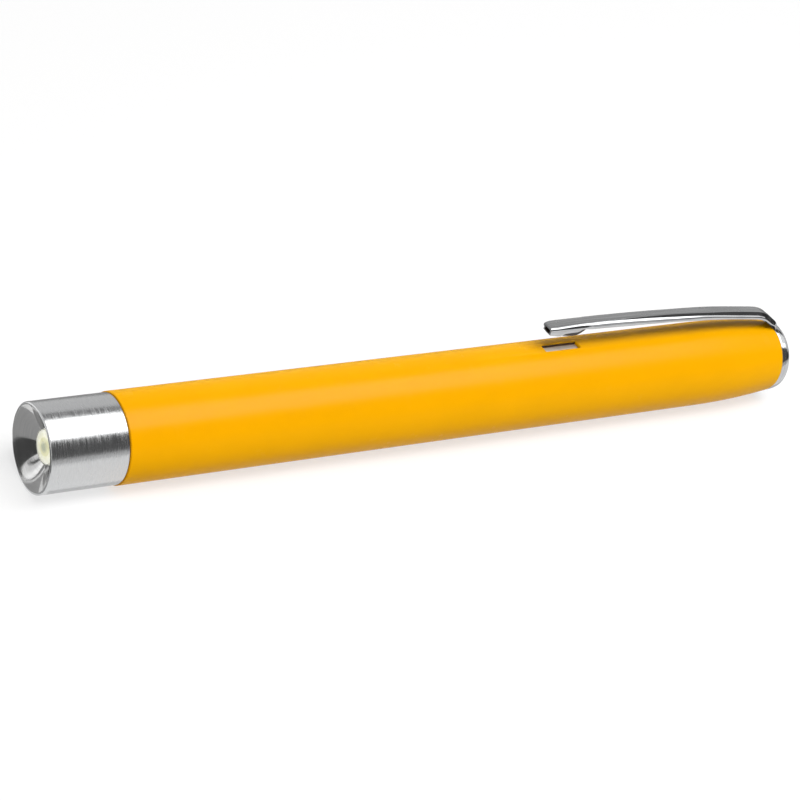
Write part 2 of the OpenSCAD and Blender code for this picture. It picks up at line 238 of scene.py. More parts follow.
softbox_y, softbox_z = -0.157, 0.60
softbox_place, softbox_aim = (0.35, softbox_y, softbox_z), (0.35, softbox_y, 0.0)
softbox = hang_lamp("softbox", softbox_place, softbox_aim, 1.30, 0.59, 4.9, True)
softbox.visible_diffuse = False
hang_lamp("key", (0.10, -0.28, 0.70), (0.0, 0.0, 0.0), 0.90, 0.40, 6.4, False)
hang_lamp("fill", (0.05, -0.60, 0.05), (0.05, 0.0, 0.01), 1.0, 0.10, 0.2, False)

# %% [markdown]
# Bright metal has no look of its own: it shows whatever stands around it. A picture of a
# room could wrap the scene, but plain cards are easier to steer. They stand round the pen,
# as a photographer sets them, and only reflections see them. A dark one in front draws the
# dark band on the head. A row of greys overhead shades the clip's top from the tip to the
# bend, and a pale one there lights the ring at the tail. A grey one behind shades the back,
# and a dark one beyond the tail draws the clip's bend.

# %% Helpers for the cards
def stand_card(name, corners, tone):
    card_mesh = bpy.data.meshes.new(name)
    card_mesh.from_pydata(corners, [], [(0, 1, 2, 3)])
    card = bpy.data.objects.new(name, card_mesh)
    card.visible_camera = False
    card.visible_diffuse = False
    card.visible_shadow = False
    card.visible_transmission = False
    finish = bpy.data.materials.new(name)
    finish.use_nodes = True
    finish.node_tree.nodes.clear()
    glow = add(finish.node_tree, "ShaderNodeEmission", {"Color": (tone, tone, tone, 1)})
    add(finish.node_tree, "ShaderNodeOutputMaterial", {"Surface": glow.outputs[0]})
    card_mesh.materials.append(finish)
    bpy.context.scene.collection.objects.link(card)
    print("card", name, "tone", tone)


def long_card(name, top, foot, tone, start=-0.5, end=1.2):
    (ya, za), (yb, zb) = top, foot
    stand_card(name, [(start, ya, za), (end, ya, za), (end, yb, zb), (start, yb, zb)], tone)


# %% Stand the long cards
front_top, front_foot = (-0.42, 0.50), (-0.55, 0.055)
over_front, over_back = (0.15, 0.60), (0.41, 0.60)
over_mid_x, over_far_x = 0.40, 0.48
long_card("front_card", front_top, front_foot, 0.10)
long_card("over_card", over_front, over_back, 0.26, end=over_mid_x)
long_card("over_card_mid", over_front, over_back, 0.14, start=over_mid_x, end=over_far_x)
long_card("over_card_far", over_front, over_back, 0.04, start=over_far_x)
long_card("over_card_ring", (-0.24, 0.595), (0.16, 0.595), 1.3, start=0.60, end=0.98)
long_card("back_card", (0.42, 0.62), (0.60, 0.0), 0.72)
stand_card("tail_card", [
    (0.5, -0.30, 0.0), (0.5, 0.30, 0.0), (0.5, 0.30, 0.12), (0.5, -0.30, 0.12)], 0.05)

# %% [markdown]
# The low sides of bright metal show the table, so grey mats lie on it. One in front tones
# the clip's side, and those behind, under and before the pen draw the thin dark lines along
# its edges and round the rim. The cone looks down at the table before it. Three dark cards
# there give it a deep wedge, and one pale mat gives it a bright side.

# %% Lay the mats
mat_z, low_mat_z, under_mat_z = 0.0008, 0.0004, 0.0002
mat_back, mat_front = 0.012, -0.0055
long_card("front_mat", front_foot, (-0.06, mat_z), 0.63)
long_card("back_mat", (0.60, low_mat_z), (mat_back, low_mat_z), 0.34, start=rim_x - 0.02)
long_card("under_mat", (mat_back, under_mat_z), (mat_front, under_mat_z), 0.66, start=rim_x + 0.002)
long_card(
    "rim_mat", (0.010, under_mat_z), (mat_front, under_mat_z), 0.44,
    start=rim_x - 0.03, end=rim_x - 0.001)

# %% Lay the cards before the lamp
near_x, side_x, far_x = rim_x - 0.0105, rim_x - 0.03, rim_x - 0.20


def floor_card(name, near_edge, far_edge, far_height, tone):
    (na, nb), (fa, fb) = near_edge, far_edge
    near_corners = [(near_x, na, mat_z), (near_x, nb, mat_z)]
    stand_card(name, near_corners + [(far_x, fb, far_height), (far_x, fa, far_height)], tone)


floor_card("lamp_card", (-0.02, 0.001), (-0.05, 0.018), 0.022, 0.022)
floor_card("lamp_card_low", (0.001, 0.010), (0.018, 0.060), 0.022, 0.085)
floor_card("cone_mat", (0.011, 0.090), (0.064, 0.260), 0.004, 1.5)
stand_card("lamp_side_card", [
    (side_x, 0.020, 0.0045), (far_x, 0.065, 0.0045),
    (far_x, 0.145, 0.030), (side_x, 0.040, 0.012)], 0.05)

# %% [markdown]
# Four effects turn up in more than one finish, so each is a node group built once: the
# distance of a point from the pen's axis, fine drawn lines, a slow drift between two
# values, and a band at a given distance from the rim. All of them work in millimetres on
# the piece's own coordinates, so the pattern stays put when a joint moves.

# %% Start a node group
def new_group(name, inputs, outputs):
    tree = bpy.data.node_groups.new(name, "ShaderNodeTree")
    for label, kind, value in inputs:
        socket = tree.interface.new_socket(label, in_out="INPUT", socket_type=kind)
        socket.default_value = value
    for label, kind in outputs:
        tree.interface.new_socket(label, in_out="OUTPUT", socket_type=kind)
    print("group", name)
    return tree, add(tree, "NodeGroupInput"), add(tree, "NodeGroupOutput")


def place_in_mm(tree):
    from_rim = {0: add(tree, "ShaderNodeTexCoord").outputs["Object"], 1: (rim_x, 0, axis_up)}
    shift = add(tree, "ShaderNodeVectorMath", from_rim, operation="SUBTRACT")
    in_mm = {0: shift.outputs["Vector"], "Scale": 1 / mm}
    return add(tree, "ShaderNodeVectorMath", in_mm, operation="SCALE").outputs["Vector"]


NUMBER = "NodeSocketFloat"
ARROW = "NodeSocketVector"

# %% Group: distance from the axis
axis_distance, _, distance_out = new_group("axis_distance", [], [("Out", NUMBER)])
flat_place = {0: place_in_mm(axis_distance), 1: (0, 1, 1)}
distance_flat = add(axis_distance, "ShaderNodeVectorMath", flat_place, operation="MULTIPLY")
flat_arrow = {0: distance_flat.outputs["Vector"]}
distance_length = add(axis_distance, "ShaderNodeVectorMath", flat_arrow, operation="LENGTH")
wire(axis_distance, distance_length.outputs["Value"], distance_out.inputs["Out"])

# %% Group: fine drawn lines
drawn_lines, lines_in, lines_out = new_group(
    "drawn_lines", [("Per mm", ARROW, (8, 0.1, 0.1))], [("Height", NUMBER)])
lines_place = {0: place_in_mm(drawn_lines), 1: lines_in.outputs["Per mm"]}
lines_scale = add(drawn_lines, "ShaderNodeVectorMath", lines_place, operation="MULTIPLY")
lines_noise = add(drawn_lines, "ShaderNodeTexNoise", {
    "Vector": lines_scale.outputs["Vector"], "Scale": 1.0, "Detail": 3.0, "Roughness": 0.6})
wire(drawn_lines, lines_noise.outputs["Fac"], lines_out.inputs["Height"])

# %% Group: slow drift between two values
slow_drift, drift_in, drift_out = new_group(
    "slow_drift",
    [("Size mm", NUMBER, 4.0), ("Low", NUMBER, 0.0), ("High", NUMBER, 1.0)],
    [("Value", NUMBER)])
per_size = {0: 1.0, 1: drift_in.outputs["Size mm"]}
drift_shrink = add(slow_drift, "ShaderNodeMath", per_size, operation="DIVIDE")
drift_place = {0: place_in_mm(slow_drift), "Scale": drift_shrink.outputs[0]}
drift_scale = add(slow_drift, "ShaderNodeVectorMath", drift_place, operation="SCALE")
drift_noise = add(slow_drift, "ShaderNodeTexNoise", {
    "Vector": drift_scale.outputs["Vector"], "Scale": 1.0, "Detail": 3.0, "Roughness": 0.55})
drift_range = add(slow_drift, "ShaderNodeMapRange", {
    "Value": drift_noise.outputs["Fac"], "From Min": 0.3, "From Max": 0.7,
    "To Min": drift_in.outputs["Low"], "To Max": drift_in.outputs["High"]})
wire(slow_drift, drift_range.outputs[0], drift_out.inputs["Value"])

# %% Group: band at a distance from the rim
cross_band, band_in, band_out = new_group(
    "cross_band", [("At mm", NUMBER, 0.0), ("Reach mm", NUMBER, 1.0)], [("Mask", NUMBER)])
band_place = add(cross_band, "ShaderNodeSeparateXYZ", {0: place_in_mm(cross_band)})
band_gap = {0: band_place.outputs["X"], 1: band_in.outputs["At mm"]}
band_off = add(cross_band, "ShaderNodeMath", band_gap, operation="SUBTRACT")
band_size = add(cross_band, "ShaderNodeMath", {0: band_off.outputs[0]}, operation="ABSOLUTE")
band_fade = add(cross_band, "ShaderNodeMapRange", {
    "Value": band_size.outputs[0], "From Max": band_in.outputs["Reach mm"],
    "To Min": 1.0, "To Max": 0.0}, interpolation_type="SMOOTHSTEP")
wire(cross_band, band_fade.outputs[0], band_out.inputs["Mask"])

# %% [markdown]
# Every finish starts the same way: a Principled shader, a gloss that drifts a little, and a
# bump that a height drives. These helpers place a group with its values, mix two colours by
# a mask, paint the shader with the mix, and hang a drifting gloss or a bump on it. Numbers
# that never change over the surface go straight on the shader. The last helper makes a
# whole finish, for metal with fine lines.

# %% Helpers for finishes
def new_finish(name, **plain):
    finish = bpy.data.materials.new(name)
    finish.use_nodes = True
    shader = finish.node_tree.nodes["Principled BSDF"]
    for label, value in plain.items():
        shader.inputs[label.replace("_", " ")].default_value = value
    print("finish", name)
    return finish, finish.node_tree, shader


def use(tree, group, **values):
    node = add(tree, "ShaderNodeGroup", node_tree=group)
    for label, value in values.items():
        node.inputs[label.replace("_", " ")].default_value = value
    return node


def mix_colours(tree, mask, first, second):
    sockets = {0: mask}
    for place, colour in ((6, first), (7, second)):
        sockets[place] = colour + (1,) if isinstance(colour, tuple) else colour
    return add(tree, "ShaderNodeMix", sockets, data_type="RGBA").outputs[2]


def paint(tree, shader, mask, first, second):
    colour = mix_colours(tree, mask, first, second)
    wire(tree, colour, shader.inputs["Base Color"])
    return colour


def hang_gloss(tree, shader, size_mm, low, high):
    gloss = use(tree, slow_drift, Size_mm=size_mm, Low=low, High=high)
    wire(tree, gloss.outputs["Value"], shader.inputs["Roughness"])


def hang_bump(tree, shader, height, depth_mm):
    bump = add(tree, "ShaderNodeBump", {
        "Strength": 1.0, "Distance": depth_mm * mm, "Height": height})
    wire(tree, bump.outputs["Normal"], shader.inputs["Normal"])


def lined_metal(name, per_mm, dull, bright, gloss, depth_mm, **plain):
    finish, tree, shader = new_finish(name, **plain)
    lines = use(tree, drawn_lines, Per_mm=per_mm)
    paint(tree, shader, lines.outputs["Height"], dull, bright)
    hang_gloss(tree, shader, *gloss)
    hang_bump(tree, shader, lines.outputs["Height"], depth_mm)
    return finish


# %% [markdown]
# The tube's finish is a satin lacquer: a strong warm yellow with little gloss. Under a lens
# such a coat is never flat. It has a faint orange peel, its gloss drifts a little, and it
# thins at the tube's front edge, where a trace of darker colour shows.

# %% Finish: satin lacquer
lacquer, tree, shader = new_finish(
    "satin_lacquer", Specular_IOR_Level=0.03, Diffuse_Roughness=0.7)
hue = use(tree, slow_drift, Size_mm=9.0)
front_edge = use(tree, cross_band, At_mm=tube_front, Reach_mm=0.30)
deep_yellow, pale_yellow = (0.91, 0.460, 0.0002), (0.94, 0.474, 0.0003)
body_yellow = mix_colours(tree, hue.outputs["Value"], deep_yellow, pale_yellow)
paint(tree, shader, front_edge.outputs["Mask"], body_yellow, (0.80, 0.37, 0.002))
hang_gloss(tree, shader, 3.0, 0.22, 0.28)
peel = use(tree, slow_drift, Size_mm=0.55)
hang_bump(tree, shader, peel.outputs["Value"], 0.0016)

# %% [markdown]
# The head is aluminium off the lathe. The tool leaves rings so fine that they blur every
# reflection along the axis, so the lines run round the pen: close together along it and
# slow across it. The cone inside is cut the same way and then polished.

# %% Finish: turned and polished aluminium
turned_metal, tree, shader = new_finish("turned_aluminium", Metallic=1.0)
rings = use(tree, drawn_lines, Per_mm=(7.0, 0.9, 0.9))
paint(tree, shader, rings.outputs["Height"], (0.50, 0.505, 0.51), (0.64, 0.645, 0.65))
cuts = use(tree, drawn_lines, Per_mm=(8.0, 0.35, 0.35))
gloss = add(tree, "ShaderNodeMapRange", {
    "Value": cuts.outputs["Height"], "From Min": 0.36, "From Max": 0.64,
    "To Min": 0.15, "To Max": 0.28})
wire(tree, gloss.outputs[0], shader.inputs["Roughness"])
hang_bump(tree, shader, rings.outputs["Height"], 0.018)
polished_metal = lined_metal(
    "polished_aluminium", (9.0, 0.2, 0.2), (0.46, 0.46, 0.46), (0.64, 0.64, 0.635),
    (0.9, 0.06, 0.11), 0.003, Metallic=1.0)

# %% [markdown]
# The clip and the tail cap are plated. Plating is nearly a mirror, with a faint haze and
# hairlines from handling. The flat top of the clip was brushed along its length before it
# was plated, so it gets its own finish with lines that run down the clip. The lower edges,
# the inside of the channel and the keel get a worn steel that is painted dark for the shade
# and dark reflections there. Cut edges and hollows get a still darker finish that is
# painted shade.

# %% Finish: bright and brushed metal, and metal painted with shade
chrome, tree, shader = new_finish("bright_plating", Metallic=1.0)
tone = use(tree, slow_drift, Size_mm=3.0)
paint(tree, shader, tone.outputs["Value"], (0.46, 0.465, 0.475), (0.54, 0.545, 0.55))
hang_gloss(tree, shader, 1.2, 0.05, 0.11)
hairlines = use(tree, drawn_lines, Per_mm=(0.6, 5.0, 5.0))
hang_bump(tree, shader, hairlines.outputs["Height"], 0.0012)

brushed_chrome = lined_metal(
    "brushed_plating", (0.10, 4.5, 0.5), (0.19, 0.192, 0.195), (0.51, 0.515, 0.52),
    (2.0, 0.20, 0.28), 0.006, Metallic=1.0)
# Worn steel, painted dark: it stands for the shade and dark reflections on the clip's lower edges,
# in its channel and on its keel.
worn_steel_painted_dark = lined_metal(
    "worn_steel_painted_dark", (0.5, 6.0, 6.0), (0.045, 0.058, 0.082), (0.11, 0.135, 0.175),
    (0.8, 0.38, 0.50), 0.003, Metallic=0.1, Specular_IOR_Level=0.25)

# Painted shade: a dark brown for the slot's walls and the foot's hollow, where shade falls.
painted_shade_metal, tree, shader = new_finish("metal_painted_as_shade", Metallic=0.6)
mottle = use(tree, slow_drift, Size_mm=0.7)
paint(tree, shader, mottle.outputs["Value"], (0.050, 0.030, 0.018), (0.105, 0.070, 0.045))
hang_gloss(tree, shader, 0.5, 0.45, 0.62)

# %% [markdown]
# Most pieces are turned on a lathe, and the mesh is made the same way: an outline of
# distance and radius, swept round the axis. Real edges are never quite sharp, so each
# corner of an outline carries an ease, and the corner is replaced by an arc of that radius.

# %% Round off an outline's corners
def eased(corners, steps=6):
    outline = []
    for i, (x, r, ease) in enumerate(corners):
        here = Vector((x, r))
        if not ease:
            outline.append(here)
            continue
        back = (Vector(corners[i - 1][:2]) - here).normalized()
        ahead = (Vector(corners[(i + 1) % len(corners)][:2]) - here).normalized()
        half = back.angle(ahead) / 2
        centre = here + (back + ahead).normalized() * (ease / math.sin(half))
        start = here + back * (ease / math.tan(half)) - centre
        stop = here + ahead * (ease / math.tan(half)) - centre
        first = math.atan2(start.y, start.x)
        sweep = (math.atan2(stop.y, stop.x) - first + math.pi) % (2 * math.pi) - math.pi
        for k in range(steps + 1):
            angle = first + sweep * k / steps
            outline.append(centre + ease * Vector((math.cos(angle), math.sin(angle))))
    return outline


# %% Helpers for pieces
weld = 0.0005 * mm


def make_piece(name, points, faces, finishes, face_finish=None, crease=32):
    mesh = bpy.data.meshes.new(name)
    mesh.from_pydata([pen_point(*p) for p in points], [], faces)
    for finish in finishes:
        mesh.materials.append(finish)
    if face_finish:
        mesh.polygons.foreach_set("material_index", face_finish)
    work = bmesh.new()
    work.from_mesh(mesh)
    bmesh.ops.remove_doubles(work, verts=work.verts, dist=weld)
    bmesh.ops.dissolve_degenerate(work, edges=work.edges, dist=weld)
    bmesh.ops.recalc_face_normals(work, faces=work.faces)
    work.to_mesh(mesh)
    work.free()
    mesh.polygons.foreach_set("use_smooth", [True] * len(mesh.polygons))
    mesh.set_sharp_from_angle(angle=math.radians(crease))
    piece = bpy.data.objects.new(name, mesh)
    bpy.context.scene.collection.objects.link(piece)
    print(f"{name}: {len(mesh.polygons)} faces")
    return piece


def round_point(x, r, angle):
    return (x, -r * math.sin(angle), r * math.cos(angle))


def band(first, second, size):
    nexts = [(k + 1) % size for k in range(size)]
    return [(first + k, first + n, second + n, second + k) for k, n in enumerate(nexts)]


def turn_outline(name, outline, finishes, pick=None, sides=192):
    angles = [2 * math.pi * k / sides for k in range(sides)]
    points = [round_point(x, r, angle) for x, r in outline for angle in angles]
    faces, face_finish = [], []
    for i in range(len(outline)):
        j = (i + 1) % len(outline)
        for k in range(sides):
            n = (k + 1) % sides
            faces.append((i * sides + k, j * sides + k, j * sides + n, i * sides + n))
            face_finish.append(pick(*outline[i], *outline[j]) if pick else 0)
    return make_piece(name, points, faces, finishes, face_finish)


# %% [markdown]
# The tube is drawn aluminium, straight for most of its length and drawn in on a long arc
# at the tail. It has one window, the slot that the clip's foot dips into. A boolean would
# leave messy faces round that window, so the tube is woven as a grid with lines on the
# slot's edges, the faces in the window are left out, and walls are added round it.

# %% Shape the tube
wall = 0.45
tail_r = 5.85
taper_length, taper_steps = 15.0, 24
taper_start = tube_back - taper_length
taper_drop = tube_r - tail_r
taper_arc = ((tube_back - taper_start) ** 2 + taper_drop ** 2) / (2 * taper_drop)
slot_front, slot_back, slot_half = 84.7, 91.2, 0.8
slot_lip, slot_sink = 0.10, 0.07
pin_hole, end_wall = 1.55, 1.0


def tube_skin(x):
    run = max(0.0, x - taper_start)
    return tube_r - taper_arc + math.sqrt(taper_arc ** 2 - run ** 2)


slot_rows = [slot_front - slot_lip, slot_front, slot_back, slot_back + slot_lip]
taper_rows = [taper_start + taper_length * k / taper_steps for k in range(taper_steps)]
tube_corners = [(tube_front, tube_r - wall, 0.10), (tube_front, tube_r, 0.16)]
tube_corners += [(x, tube_r, 0) for x in [30, 50, 70] + slot_rows + [100]]
tube_corners += [(x, tube_skin(x), 0) for x in taper_rows]
tube_corners += [(tube_back, tail_r, 0.12), (tube_back, pin_hole, 0)]
tube_corners += [(tube_back - end_wall, pin_hole, 0), (tube_back - end_wall, tail_r - wall, 0)]
tube_corners += [(x, tube_skin(x) - wall, 0) for x in reversed(taper_rows)]
tube_corners += [(x, tube_r - wall, 0) for x in reversed(slot_rows)]
tube_outline = eased(tube_corners)
print("tube outline", len(tube_outline), "points, taper arc", round(taper_arc, 1), "mm")

# %% Weave the tube round its slot
slot_angle = math.asin(slot_half / tube_r)
lip_angle = slot_lip / tube_r
across = [slot_angle * k / 3 for k in range(-3, 4)]
beside = [-slot_angle - lip_angle, slot_angle + lip_angle]
around = [2 * math.pi * k / 180 for k in range(-86, 86)]
clear_angle = slot_angle + 2.5 * lip_angle
tube_angles = sorted(across + beside + [a for a in around if abs(a) > clear_angle])
tube_angles = [a for a in tube_angles if abs(a) < math.pi]
sides = len(tube_angles)
edge_columns = [k for k, a in enumerate(tube_angles) if abs(a) < slot_angle + 0.0001]


def on_slot_edge(x):
    return min(abs(x - slot_front), abs(x - slot_back)) < 0.001


edge_rows = [i for i, p in enumerate(tube_outline) if on_slot_edge(p.x)]
outer_front, outer_back, inner_back, inner_front = edge_rows
tube_points = []
for i, (x, r) in enumerate(tube_outline):
    for k, angle in enumerate(tube_angles):
        sunk = slot_sink if i in (outer_front, outer_back) and k in edge_columns else 0
        tube_points.append(round_point(x, r - sunk, angle))
print("tube grid", len(tube_outline), "rows of", sides)

# %% Skin the tube and wall its slot
LACQUERED, SLOT_SHADE = 0, 1
tube_faces, tube_finish = [], []
for i in range(len(tube_outline)):
    j = (i + 1) % len(tube_outline)
    for k in range(sides):
        n = (k + 1) % sides
        window = i in (outer_front, inner_back) and k in edge_columns and n in edge_columns
        if not window:
            tube_faces.append((i * sides + k, j * sides + k, j * sides + n, i * sides + n))
            tube_finish.append(LACQUERED)
# The slot's side walls get the painted shade finish, dark for the shade inside the slot.
for k in (edge_columns[0], edge_columns[-1]):
    tube_faces.append([i * sides + k for i in (outer_front, outer_back, inner_back, inner_front)])
    tube_finish.append(SLOT_SHADE)
for outer, inner in ((outer_front, inner_front), (outer_back, inner_back)):
    for k in edge_columns[:-1]:
        a, b = outer * sides + k, inner * sides + k
        tube_faces.append((a, a + 1, b + 1, b))
        tube_finish.append(LACQUERED)
tube = make_piece("tube", tube_points, tube_faces, [lacquer, painted_shade_metal], tube_finish)
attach(tube, "barrel")
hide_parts("barrel")

# %% [markdown]
# On the real tube the softbox also shows as a faint pale stripe. The lacquer here has so
# little gloss that the stripe would vanish, and more gloss would grey the yellow at its
# edges. So a second lamp hangs level with the softbox, over the front of the pen, and only
# the tube's gloss sees it.

# %% Hang the gloss lamp
gloss_place, gloss_aim = (0.0, softbox_y, softbox_z), (0.0, softbox_y, 0.0)
gloss_lamp = hang_lamp("gloss_lamp", gloss_place, gloss_aim, 1.00, 0.50, 15.5, True)
gloss_lamp.visible_diffuse = False
gloss_sees = bpy.data.collections.new("gloss_sees")
gloss_sees.objects.link(tube)
gloss_lamp.light_linking.receiver_collection = gloss_sees

# %% [markdown]
# The head is one turned shell: a thin flat land and a rounded lip at the rim, a straight
# side, a shoulder that meets the tube, and a spigot behind it. Its front is a shallow cone
# down to the lamp. All of that is one closed outline, with the cone's faces in the polished
# finish and the rest as turned.

# %% Turn the head
joint_gap = 0.05
head_back = tube_front - joint_gap
mouth_r = 6.2
lip_round = 0.28
cone_depth, throat_r = 1.9, 2.5
spigot_r, spigot_back = 5.59, pen_x(head_high.x)
board_r, board_x = 4.84, 15.25
bush_r, bush_x = 4.0, 10.1
seat_r, seat_x = 3.0, 8.95
head_corners = [
    (cone_depth, throat_r, 0.03), (0, mouth_r, 0.05), (0, head_r, lip_round),
    (head_back, head_r, 0.14), (head_back, spigot_r, 0), (spigot_back, spigot_r, 0.25),
    (spigot_back, board_r, 0.1), (board_x, board_r, 0), (board_x, bush_r, 0), (bush_x, bush_r, 0),
    (bush_x, seat_r, 0), (seat_x, seat_r, 0), (seat_x, throat_r, 0)]
TURNED, POLISHED = 0, 1


def head_finish(x0, r0, x1, r1):
    inside = max(x0, x1) < cone_depth + 0.1 and max(r0, r1) < mouth_r + 0.01
    return POLISHED if inside else TURNED


head_outline = eased(head_corners, 8)
head = turn_outline("head_shell", head_outline, [turned_metal, polished_metal], head_finish)
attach(head, "head")
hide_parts("head")

# %% [markdown]
# The spigot screws into the tube. A thread is one ridge wound round and round, so it is
# swept as a small blunt tooth along a helix, fading in and out at its ends as a cut thread
# does. It shows only when the head is unscrewed.

# %% Wind the thread
thread_start, thread_pitch, thread_turns = 12.95, 1.0, 4.0
crest_r = 5.88
tooth = [(-0.42, -0.02), (-0.14, 1.0), (0.14, 1.0), (0.42, -0.02)]
steps_per_turn = 60
thread_points, thread_faces = [], []
thread_steps = int(thread_turns * steps_per_turn)
for s in range(thread_steps + 1):
    turns = s / steps_per_turn
    fade = min(1.0, 3 * turns, 3 * (thread_turns - turns))
    for dx, rise in tooth:
        x = thread_start + thread_pitch * turns + dx
        r = spigot_r + (crest_r - spigot_r) * rise * max(fade, 0.02)
        thread_points.append(round_point(x, r, -2 * math.pi * turns))
for s in range(thread_steps):
    thread_faces += band(s * len(tooth), (s + 1) * len(tooth), len(tooth))
thread = make_piece("head_thread", thread_points, thread_faces, [turned_metal])
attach(thread, "head")

# %% [markdown]
# The lamp is a white LED: a clear resin body with a low lens face, and a small bright cup
# under it with a dab of yellow phosphor. Clear resin only looks right with something real
# inside it, so the cup and the phosphor are modelled, and the lens is true glass over them.
# The cup and the phosphor carry a faint painted glow, though the lamp is off.

# %% Finish: clear resin, cup and phosphor
resin, tree, shader = new_finish(
    "clear_resin", Base_Color=(0.985, 0.988, 0.96, 1), Transmission_Weight=1.0, IOR=1.5)
hang_gloss(tree, shader, 1.2, 0.0, 0.05)

# Painted glow: the cup gives off a faint light of its own colour, though the lamp is off.
cup_white, tree, shader = new_finish("lamp_cup", Specular_IOR_Level=0.6, Emission_Strength=0.30)
where = use(tree, axis_distance)
cup_fade = add(tree, "ShaderNodeMapRange", {
    "Value": where.outputs["Out"], "From Min": 1.2, "From Max": 2.2})
cup_cream = paint(tree, shader, cup_fade.outputs[0], (0.95, 0.94, 0.74), (0.97, 0.97, 0.91))
wire(tree, cup_cream, shader.inputs["Emission Color"])
hang_gloss(tree, shader, 0.5, 0.22, 0.34)

# Painted glow: the phosphor gives off a faint light of its own colour, though the lamp is off.
phosphor, tree, shader = new_finish("phosphor", Emission_Strength=0.18)
where = use(tree, axis_distance)
speckle = use(tree, slow_drift, Size_mm=0.14, Low=-0.12, High=0.12)
ragged = {0: where.outputs["Out"], 1: speckle.outputs["Value"]}
spread = add(tree, "ShaderNodeMath", ragged, operation="ADD")
patch = add(tree, "ShaderNodeMapRange", {
    "Value": spread.outputs[0], "From Min": 0.35, "From Max": 0.95})
dab = paint(tree, shader, patch.outputs[0], (0.55, 0.58, 0.44), (0.93, 0.91, 0.62))
wire(tree, dab, shader.inputs["Emission Color"])
hang_gloss(tree, shader, 0.3, 0.45, 0.65)

# %% Turn the lens
lens_r, lens_rise, lens_steps = 2.45, 0.45, 24
lens_arc = (lens_r ** 2 + lens_rise ** 2) / (2 * lens_rise)
flange_low, flange_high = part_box("led_lens")
flange_r = (flange_high.y - flange_low.y) / 2 / mm
lens_tip = pen_x(flange_low.x)
flange_front, flange_back = 9.0, 10.0
lens_corners = []
for k in range(lens_steps + 1):
    r = lens_r * k / lens_steps
    x = lens_tip + lens_arc - math.sqrt(lens_arc ** 2 - r ** 2)
    lens_corners.append((x, r, 0.0 if k < lens_steps else 0.06))
lens_corners += [(flange_front, lens_r, 0), (flange_front, flange_r, 0.05)]
lens_corners += [(flange_back, flange_r, 0.05), (flange_back, 0, 0)]
lens = turn_outline("lamp_lens", eased(lens_corners), [resin], sides=128)
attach(lens, "head")
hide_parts("led_lens")

# %% Turn the cup with its dab of phosphor
cup_mouth, cup_floor_r = 2.30, 1.3
cup_front, cup_floor, cup_back = 2.05, 2.62, 3.20
dab_r, dab_rise, dab_steps = 1.2, 0.2, 10
cup_corners = []
for k in range(dab_steps + 1):
    r = dab_r * k / dab_steps
    cup_corners.append((cup_floor - dab_rise * (1 - (r / dab_r) ** 2), r, 0))
cup_corners += [(cup_floor, cup_floor_r, 0.02), (cup_front, cup_mouth, 0.03)]
cup_corners += [(cup_back, cup_mouth, 0), (cup_back, 0, 0)]
CUP, DAB = 0, 1


def cup_finish(x0, r0, x1, r1):
    return DAB if max(r0, r1) < dab_r + 0.01 and max(x0, x1) < cup_floor + 0.01 else CUP


cup = turn_outline("lamp_cup", eased(cup_corners), [cup_white, phosphor], cup_finish, sides=128)
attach(cup, "head")
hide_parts("led_phosphor")

# %% [markdown]
# The clip is one strip of spring steel: a channel with rounded shoulders that runs along
# the tube, bends down at the tail and ends in a ring under the cap. Its middle is raised,
# and the step beside it grows toward the tail. A bevelled box could not change that way, so
# the strip is lofted: the same closed channel outline is drawn at many stations along the
# strip's top line, each with its own width, step, shoulder and depth.

# %% Draw the strip's top line
arm_low, arm_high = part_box("clip_arm")
ring_low, ring_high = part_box("clip_ring")
tip_x = pen_x(arm_low.x) - 0.15
crest_z = pen_z(arm_high.z)
crest_x, hinge_x = 92.0, 127.2
tip_dip, arm_sag = 0.14, 1.97
ring_front, ring_back = 130.42, pen_x(ring_high.x)
ear_slope = math.radians(34)
ear_round = 1.25


def arm_top(x):
    if x < crest_x:
        return crest_z - tip_dip * ((crest_x - x) / (crest_x - tip_x)) ** 2
    return crest_z - arm_sag * ((x - crest_x) / (hinge_x - crest_x)) ** 2.5


def on_curve(points, t):
    (ax, az), (bx, bz), (cx, cz) = points
    u = 1 - t
    return (u * u * ax + 2 * u * t * bx + t * t * cx, u * u * az + 2 * u * t * bz + t * t * cz)


ear_fall = math.tan(ear_slope)
bend_start, arm_fall = 125.6, 0.135
bend_corner = (127.2, arm_top(bend_start) - 1.6 * arm_fall)
ear_top = (128.4, bend_corner[1] - 1.2 * ear_fall)
ear_foot_x = ring_back - ear_round
ear_foot = (ear_foot_x, ear_top[1] - (ear_foot_x - ear_top[0]) * ear_fall)
ear_corner = (ring_back, ear_foot[1] - ear_round * ear_fall)
ear_end = (ring_back, ear_corner[1] - ear_round)
arm_rows = [tip_x + 0.15 * k for k in range(10)] + [tip_x + 1.5 + 0.3 * k for k in range(30)]
arm_rows += [tip_x + 10.5 + (bend_start - tip_x - 10.5) * k / 36 for k in range(36)]
top_line = [(x, arm_top(x)) for x in arm_rows]
bend_curve = [(bend_start, arm_top(bend_start)), bend_corner, ear_top]
top_line += [on_curve(bend_curve, k / 14) for k in range(14)]
for k in range(5):
    share = k / 5
    x = ear_top[0] + (ear_foot[0] - ear_top[0]) * share
    top_line.append((x, ear_top[1] + (ear_foot[1] - ear_top[1]) * share))
top_line += [on_curve([ear_foot, ear_corner, ear_end], k / 12) for k in range(12)]
top_line += [(ring_back, ear_corner[1] - ear_round - 0.2 * k) for k in range(5)]
print("clip line", len(top_line), "stations, ends at height", round(top_line[-1][1], 2))


# %% Shape the channel's section
def ramp(value, low, high):
    t = min(1.0, max(0.0, (value - low) / (high - low)))
    return t * t * (3 - 2 * t)


def side_depth(x):
    return 0.62 + 0.18 * ramp(x, 85, 90) + 0.15 * ramp(x, 90.6, 92.4) + 0.15 * ramp(x, 92, 100)


def held(angle, length):
    guard = min(0.02, 0.25 * length)
    return [(angle, guard), (angle, length - 2 * guard), (angle, guard)]


